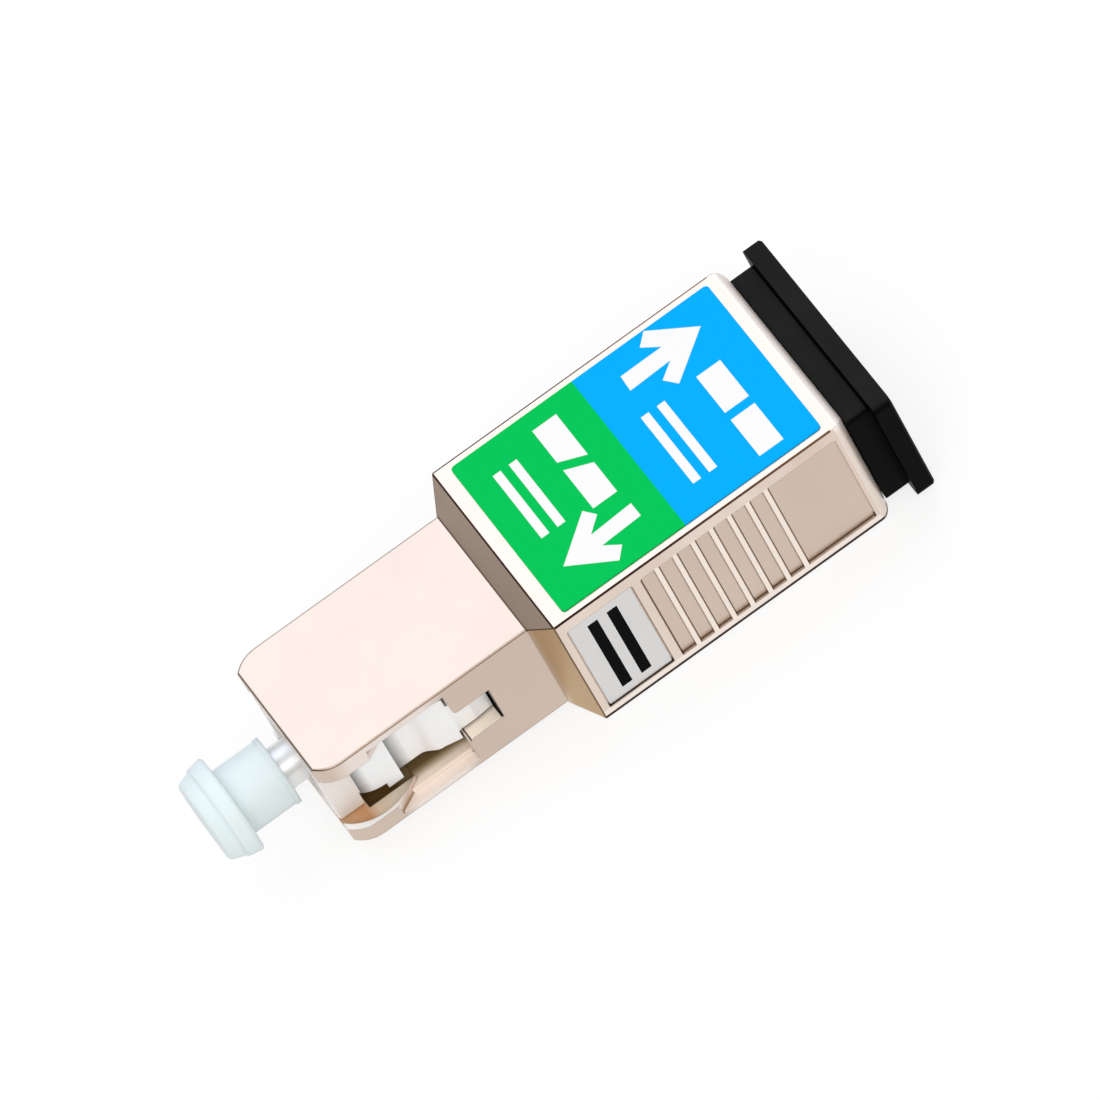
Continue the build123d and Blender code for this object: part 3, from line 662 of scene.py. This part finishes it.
MATERIALS = {
    "outer_shell": Casting().mat,
    "plug_frame": latch_silver(),
    "ferrule_flange": silver("flange_metal", (0.62, 0.62, 0.60), 0.22, (8, 1, 1)),
    "ferrule_spring": silver("spring_steel", (0.55, 0.55, 0.56), 0.25),
    "spring_seat": silver("washer_steel", (0.60, 0.60, 0.60), 0.25),
    "sleeve_holder": silver("holder_metal", (0.66, 0.64, 0.60), 0.24, (8, 1, 1)),
    "ferrule": moulded(
        "zirconia", (0.97, 0.97, 0.97), (0.99, 0.99, 0.99), 0.28, 0.04,
        Subsurface_Weight=0.3, Subsurface_Scale=0.0012, Subsurface_Radius=(1, 1, 1), Metallic=0.4,
    ),
    "split_sleeve": moulded("sleeve_zirconia", (0.83, 0.84, 0.83), (0.88, 0.89, 0.88), 0.12, 0.04),
    "latch_carrier": moulded("carrier_plastic", (0.70, 0.72, 0.74), (0.76, 0.78, 0.80), 0.36),
    "dust_plug": black_plastic((cover_rear - front) / MM - COVER_THICKNESS),
    "ferrule_cap": moulded(
        "cap_plastic", (0.790, 0.905, 0.910), (0.810, 0.922, 0.928), 0.45, 0.35,
        Subsurface_Weight=0.4, Subsurface_Scale=0.0016, Subsurface_Radius=(1, 1, 1), Specular_IOR_Level=0.3,
    ),
    "top_label": two_fields(FIELDS_MEET),
    "side_label": silver("sticker_film", (0.715, 0.705, 0.695), 0.30),
}
for name, material in MATERIALS.items():
    mesh = nodes[name].data
    mesh.materials.clear()
    mesh.materials.append(material)

# The spring, as round wire in the place of the solid, with a pitch that END_PITCH makes smaller at its ends
WIRE = 0.36 * MM
TURNS = 4
END_PITCH = 0.35


def coil_spring(name, node, wire, turns, sides=10, steps=28):
    """A spring of round wire in the place of its node, with closer turns at its ends."""
    low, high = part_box(node)
    radius = (high.z - low.z - wire) / 2
    start, end = low.x + wire / 2, high.x - wire / 2
    centre = Vector((0, (low.y + high.y) / 2, (low.z + high.z) / 2))
    total = int(turns * steps)
    rings = []
    bm = bmesh.new()
    for step in range(total + 1):
        share = step / total
        eased = share + END_PITCH * (share * share * (3 - 2 * share) - share)
        angle = 2 * math.pi * turns * share
        out = Vector((0, math.cos(angle), math.sin(angle)))
        middle = centre + out * radius + Vector((start + (end - start) * eased, 0, 0))
        ring = []
        for side in range(sides):
            turn = 2 * math.pi * side / sides
            rim = out * (wire / 2 * math.cos(turn)) + Vector((wire / 2 * math.sin(turn), 0, 0))
            ring.append(bm.verts.new(middle + rim))
        rings.append(ring)
    for first, second in zip(rings, rings[1:]):
        for side in range(sides):
            after = (side + 1) % sides
            bm.faces.new((first[side], first[after], second[after], second[side]))
    bm.faces.new(rings[0])
    bm.faces.new(list(reversed(rings[-1])))
    bmesh.ops.recalc_face_normals(bm, faces=bm.faces)
    mesh = bpy.data.meshes.new(name)
    bm.to_mesh(mesh)
    bm.free()
    for polygon in mesh.polygons:
        polygon.use_smooth = len(polygon.vertices) == 4
    obj = bpy.data.objects.new(name, mesh)
    bpy.context.scene.collection.objects.link(obj)
    mesh.materials.append(MATERIALS[node])
    return obj, low, high


spring, spring_low, spring_high = coil_spring("spring_wire", "ferrule_spring", WIRE, TURNS)
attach(spring, "core")
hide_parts("ferrule_spring")
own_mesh(spring)

# Printed shapes on the two labels


def plate(name, outline, low, high, material, body, place):
    """A thin printed shape: its outline goes through place, from low to high off what carries it."""
    mesh = bpy.data.meshes.new(name)
    bm = bmesh.new()
    floor = [bm.verts.new(place(u, v, low)) for u, v in outline]
    face = bm.faces.new(floor)
    lifted = bmesh.ops.extrude_face_region(bm, geom=[face])["geom"]
    upper = [part for part in lifted if isinstance(part, bmesh.types.BMVert)]
    bmesh.ops.translate(bm, vec=place(0, 0, high) - place(0, 0, low), verts=upper)
    bmesh.ops.recalc_face_normals(bm, faces=bm.faces)
    bm.to_mesh(mesh)
    bm.free()
    obj = bpy.data.objects.new(name, mesh)
    bpy.context.scene.collection.objects.link(obj)
    mesh.materials.append(material)
    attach(obj, body)


def on_top(u, v, lift):
    """A point over the top label, u behind the plug's front and v to the far side."""
    point = at(u, v, 0)
    point.z = label_top + lift * MM
    return point


# The ink's underside and top in millimetres off the film that carries it
INK_LOW = -0.002
INK_HIGH = 0.006

white_ink = printed("white_ink", (0.930, 0.915, 0.895), (0.945, 0.930, 0.910))
black_ink = printed("black_ink", (0.0015, 0.0015, 0.0015), (0.0030, 0.0030, 0.0030), 0.5)

socket_arrow = [
    (29.41, 3.75), (26.97, 5.58), (26.29, 4.87), (27.18, 4.13), (24.61, 4.11),
    (24.55, 3.03), (27.10, 3.12), (26.16, 2.39), (26.72, 1.63),
]
plug_arrow = [
    (16.34, -3.38), (18.84, -1.28), (19.33, -1.98), (18.44, -2.79), (21.02, -2.63),
    (21.03, -3.61), (18.55, -3.72), (19.37, -4.39), (18.77, -5.09),
]
plate("arrow_to_socket", socket_arrow, INK_LOW, INK_HIGH, white_ink, "shell", on_top)
plate("arrow_to_plug", plug_arrow, INK_LOW, INK_HIGH, white_ink, "shell", on_top)


def block(start, width, far, near, far_slant=0, near_slant=0):
    """The outline of a rectangle, or of one whose far or near end slants."""
    end = start + width
    return [(start, far), (end, far - far_slant), (end, near - near_slant), (start, near)]


# Pictograms beside the arrows: two ferrule ends that meet at a slant and at a square joint, and level bars
FERRULE_WIDTH = 1.50
LEVEL_WIDTH = 0.50
SLANT = 0.70
PICTOGRAMS = {
    "slant_joint_far": block(19.35, FERRULE_WIDTH, 4.55, 2.05, near_slant=SLANT),
    "slant_joint_near": block(19.35, FERRULE_WIDTH, 1.45, -1.55, far_slant=SLANT),
    "square_joint_far": block(27.60, FERRULE_WIDTH, 1.35, -1.50),
    "square_joint_near": block(27.60, FERRULE_WIDTH, -2.05, -4.90),
    "level_bar_1": block(16.35, LEVEL_WIDTH, 3.70, -1.20),
    "level_bar_2": block(17.35, LEVEL_WIDTH, 3.70, -1.20),
    "level_bar_3": block(24.10, LEVEL_WIDTH, 1.30, -3.90),
    "level_bar_4": block(25.10, LEVEL_WIDTH, 1.30, -3.90),
}
for name, outline in PICTOGRAMS.items():
    plate(name, outline, INK_LOW, INK_HIGH, white_ink, "shell", on_top)


def on_side(u, v, lift):
    """A point over the side sticker, u behind the plug's front and v above the axis."""
    point = at(u, 0, v)
    point.y = sticker_face - lift * MM
    return point


BAR_WIDTH = 0.62
BAR_TOP, BAR_FOOT = 3.0, -3.2
for number, start in enumerate((15.55, 16.75), 1):
    bar = block(start, BAR_WIDTH, BAR_TOP, BAR_FOOT)
    plate("sticker_bar_%d" % number, bar, INK_LOW, INK_HIGH, black_ink, "shell", on_side)

# Floor, light and camera

FLOOR = -0.02 * MM
floor_mesh = bpy.data.meshes.new("studio_floor")
corners = [(-3, -3, FLOOR), (3, -3, FLOOR), (3, 3, FLOOR), (-3, 3, FLOOR)]
floor_mesh.from_pydata(corners, [], [(0, 1, 2, 3)])
studio_floor = bpy.data.objects.new("studio_floor", floor_mesh)
bpy.context.scene.collection.objects.link(studio_floor)

# Paper that shows white in reflections and keeps the shadow in the camera's view
paper = Shader("floor_paper")
path = paper.tree.nodes.new("ShaderNodeLightPath")
seen = path.outputs["Is Camera Ray"]
mirrored = paper.calc("MAXIMUM", path.outputs["Is Glossy Ray"], path.outputs["Is Transmission Ray"])
weave = paper.span(paper.noise(30, 2), 0.0, 1.0)
dim = paper.mix(weave, (0.235, 0.232, 0.229), (0.245, 0.242, 0.239))
full = paper.mix(weave, (0.800, 0.795, 0.790), (0.810, 0.805, 0.800))
paper.link(paper.mix(seen, full, dim), paper.bsdf.inputs["Base Color"])
paper.set(Roughness=1.0, Specular_IOR_Level=0.0)
glow = paper.node("ShaderNodeEmission")
paper.link(paper.calc("MULTIPLY", seen, 0.78), glow.inputs["Strength"])
both = paper.node("ShaderNodeAddShader")
paper.link(paper.bsdf.outputs[0], both.inputs[0])
paper.link(glow.outputs[0], both.inputs[1])
clean = paper.node("ShaderNodeEmission")
choose = paper.node("ShaderNodeMixShader")
paper.link(mirrored, choose.inputs["Fac"])
paper.link(both.outputs[0], choose.inputs[1])
paper.link(clean.outputs[0], choose.inputs[2])
paper.link(choose.outputs[0], paper.tree.nodes["Material Output"].inputs["Surface"])
floor_mesh.materials.append(paper.mat)

# Sky of the studio: a broad soft light overhead and dimmer walls low down
world = bpy.data.worlds.new("studio")
bpy.context.scene.world = world
world.use_nodes = True
sky = world.node_tree
background = sky.nodes["Background"]
direction = sky.nodes.new("ShaderNodeTexCoord")
parts = sky.nodes.new("ShaderNodeSeparateXYZ")
sky.links.new(direction.outputs["Generated"], parts.inputs["Vector"])
ramp = sky.nodes.new("ShaderNodeValToRGB")
stops = [
    (0.00, (0.370, 0.352, 0.335)),
    (0.20, (0.430, 0.410, 0.390)),
    (0.46, (0.60, 0.595, 0.59)),
    (0.78, (0.68, 0.68, 0.68)),
]
while len(ramp.color_ramp.elements) < len(stops):
    ramp.color_ramp.elements.new(0.5)
for element, (place, colour) in zip(ramp.color_ramp.elements, stops):
    element.position = place
    element.color = (*colour, 1)
sky.links.new(parts.outputs["Z"], ramp.inputs["Fac"])
path = sky.nodes.new("ShaderNodeLightPath")
pick = sky.nodes.new("ShaderNodeMix")
pick.data_type = "RGBA"
sky.links.new(path.outputs["Is Camera Ray"], pick.inputs["Factor"])
sky.links.new(ramp.outputs["Color"], pick.inputs[6])
pick.inputs[7].default_value = (1, 1, 1, 1)
sky.links.new(pick.outputs[2], background.inputs["Color"])
background.inputs["Strength"].default_value = 1.0


def softbox(name, place, aim, size, power, colour):
    """A rectangular soft lamp at place, turned to aim."""
    lamp = bpy.data.lights.new(name, "AREA")
    lamp.shape = "RECTANGLE"
    lamp.size, lamp.size_y = size
    lamp.energy = power
    lamp.color = colour
    obj = bpy.data.objects.new(name, lamp)
    bpy.context.scene.collection.objects.link(obj)
    obj.location = place
    obj.rotation_euler = (Vector(aim) - Vector(place)).to_track_quat("-Z", "Y").to_euler()


centre = (0.0, 0.0, 0.004)
softbox("overhead", (0.02, 0.30, 0.48), centre, (0.55, 0.45), 1.09, (0.732, 0.826, 1.0))
softbox("near_fill", (-0.05, -0.22, 0.265), centre, (0.40, 0.20), 0.48, (1.0, 0.99, 0.98))

# Camera at the photograph's angle: the part's own length runs up to the right, seen from 55 degrees above
look = Matrix((
    (0.81101, -0.50735, -0.29131),
    (0.58154, 0.64472, 0.49614),
    (-0.06391, -0.57178, 0.81791),
))
LENS = 550.5
DISTANCE = 0.8547
VIEW_RIGHT, VIEW_UP = 0.737 * MM, 1.809 * MM
camera_data = bpy.data.cameras.new("photo_camera")
camera = bpy.data.objects.new("photo_camera", camera_data)
bpy.context.scene.collection.objects.link(camera)
camera_data.sensor_width = 36
camera_data.lens = LENS
camera_data.clip_start = 0.05
camera_data.clip_end = 20
camera_data.dof.use_dof = False
bpy.context.scene.camera = camera

bpy.context.scene.view_settings.view_transform = "Standard"
right, up, back = (Vector(row).normalized() for row in look)
target = at(15.0, 0, 0) + right * VIEW_RIGHT + up * VIEW_UP
turn = Matrix((right, up, back)).transposed().to_4x4()
camera.matrix_world = Matrix.Translation(target + back * DISTANCE) @ turn
